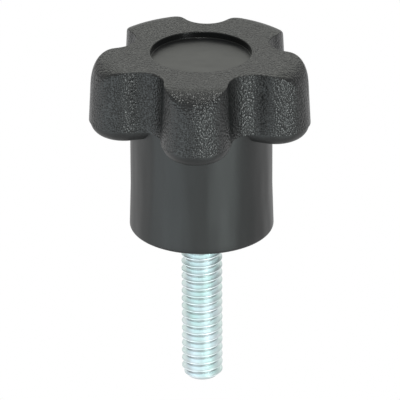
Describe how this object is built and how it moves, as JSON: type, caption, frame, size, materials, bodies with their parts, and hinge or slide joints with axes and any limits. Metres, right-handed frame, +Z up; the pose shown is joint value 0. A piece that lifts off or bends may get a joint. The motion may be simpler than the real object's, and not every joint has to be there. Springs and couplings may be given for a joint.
{
  "type": "five-arm knob",
  "caption": "Moulded hand knob: rounded arms and finger flutes on a tall round hub, a shallow recess in its flat top, and a plated threaded stud below, for clamping by hand.",
  "frame": {"origin": "centre of the hub's foot, where the stud leaves the plastic", "axes": "+Z up the knob's axis towards the flat top, the stud runs down -Z, one arm lies along -Y"},
  "size_m": [0.0334, 0.0322, 0.054],
  "materials": {
    "plastic": "fine grained mould texture on the head, smoother on the hub",
    "zinc": "bright zinc plate with a pale blue tint"
  },
  "bodies": {
    "root": {"knob_body": "plastic", "threaded_stud": "zinc"}
  },
  "joints": []
}
